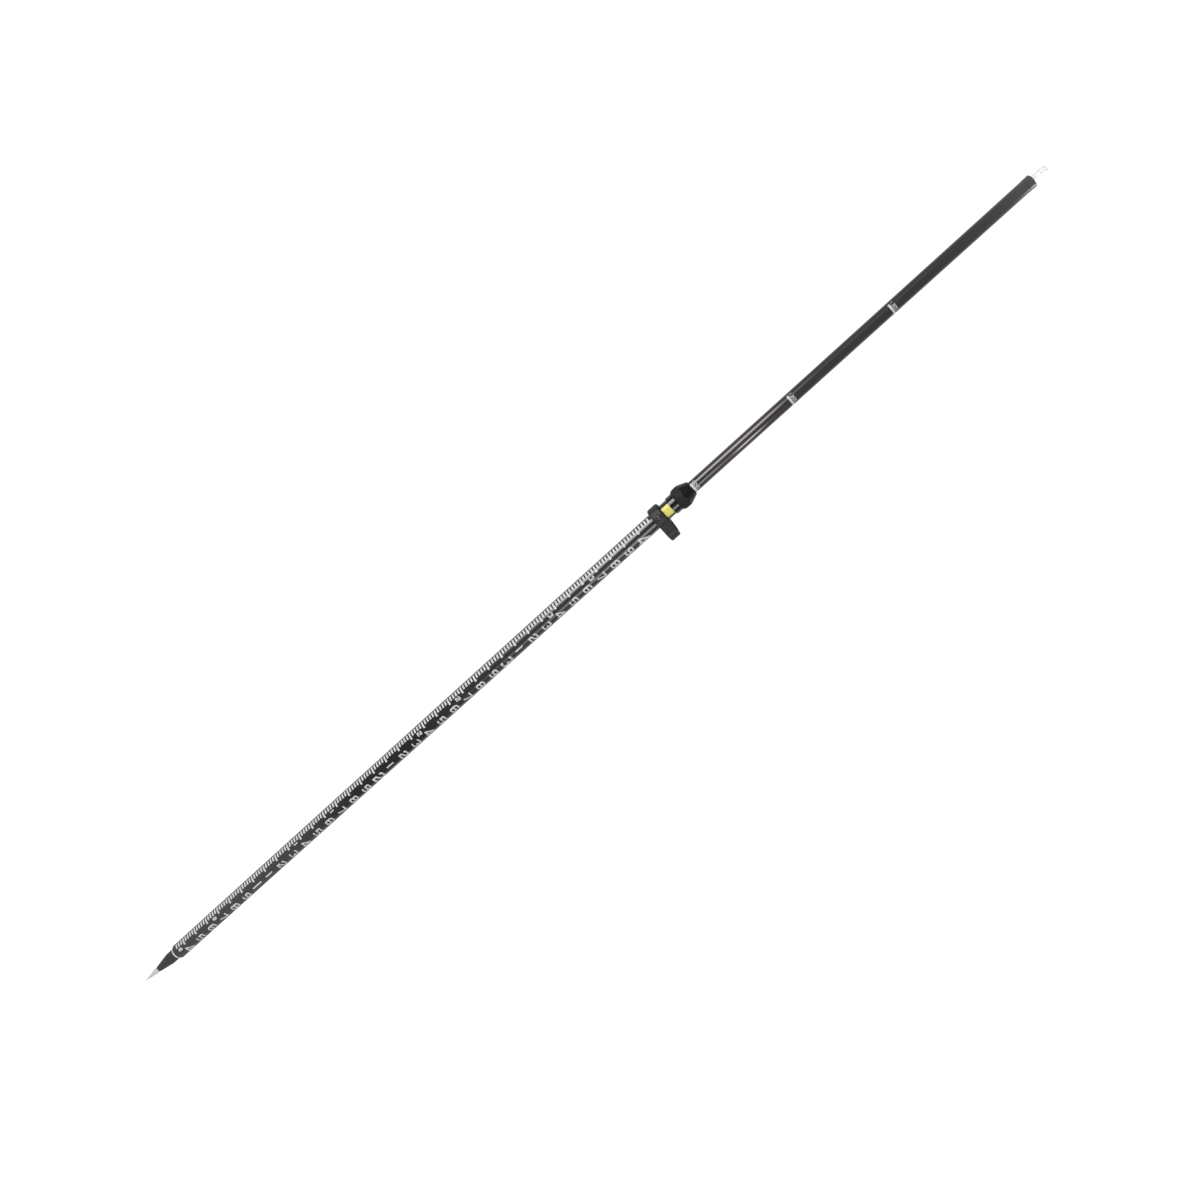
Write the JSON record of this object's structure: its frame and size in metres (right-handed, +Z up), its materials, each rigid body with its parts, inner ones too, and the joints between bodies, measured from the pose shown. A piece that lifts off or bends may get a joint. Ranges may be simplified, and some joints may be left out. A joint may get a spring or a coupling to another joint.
{
  "type": "survey rover pole",
  "caption": "Telescopic survey rover pole with a steel ground point, foot scale, circular level, twist-lock clamp and a grooved spigot for the antenna.",
  "frame": {"origin": "the end of the steel ground point, on the pole's axis", "axes": "+Z up the pole's axis, +X towards the level vial, -Y towards the scale and the label"},
  "size_m": [0.0633, 0.0415, 2.024],
  "materials": {
    "tip_steel": "ground hardened steel",
    "point_black": "dark grey anodised, satin",
    "neck_bright": "turned, bare",
    "lower_tube_black": "black lacquer, glossy, printed scale",
    "bracket_black": "fine moulded texture",
    "screw_steel": "zinc plated",
    "pad_nylon": "natural nylon",
    "cushion_rubber": "matte",
    "cup_metal": "black anodised",
    "vial_floor_white": "white, smooth",
    "vial_clear": "polished",
    "vial_spirit": "yellow-green spirit",
    "bezel_black": "satin",
    "label_yellow": "printed film",
    "ferrule_black": "glossy moulding",
    "bush_plastic": "natural acetal",
    "collet_plastic": "black acetal",
    "nut_black": "satin moulding",
    "grip_rubber": "matte, fluted",
    "wiper_rubber": "smooth",
    "ring_plastic": "natural",
    "foot_plastic": "black acetal",
    "upper_tube_black": "black anodised, satin, printed bands",
    "flange_black": "black anodised, turned",
    "spigot_steel": "stainless, polished"
  },
  "bodies": {
    "lower_pole": {"steel_tip": "tip_steel", "point_body": "point_black", "foot_insert": "neck_bright", "lower_tube": "lower_tube_black", "level_bracket": "bracket_black", "bracket_lock_screw": "screw_steel", "lock_screw_pad": "pad_nylon", "vial_cushion": "cushion_rubber", "vial_cup": "cup_metal", "vial_base": "vial_floor_white", "vial_glass": "vial_clear", "vial_liquid": "vial_spirit", "vial_bezel": "bezel_black", "vial_adjust_screws": "screw_steel", "set_label": "label_yellow", "clamp_ferrule": "ferrule_black", "guide_bush": "bush_plastic", "clamp_collet": "collet_plastic"},
    "twist_nut": {"clamp_nut": "nut_black", "nut_grip": "grip_rubber", "wiper_ring": "wiper_rubber"},
    "guide_ring": {"guide_ring": "ring_plastic"},
    "upper_pole": {"foot_plug": "foot_plastic", "upper_tube": "upper_tube_black", "top_insert": "flange_black", "antenna_spigot": "spigot_steel"}
  },
  "joints": [
    {"name": "nut_twist", "type": "hinge", "parent": "lower_pole", "child": "twist_nut", "pos_m": [0, 0, 1.305], "axis": [0, 0, 1], "range_deg": [0, 180]},
    {"name": "upper_slide", "type": "slide", "parent": "lower_pole", "child": "guide_ring", "axis": [0, 0, 1], "range_m": [-0.657, 0]},
    {"name": "upper_turn", "type": "hinge", "parent": "guide_ring", "child": "upper_pole", "pos_m": [0, 0, 1.162], "axis": [0, 0, 1], "continuous": true}
  ]
}
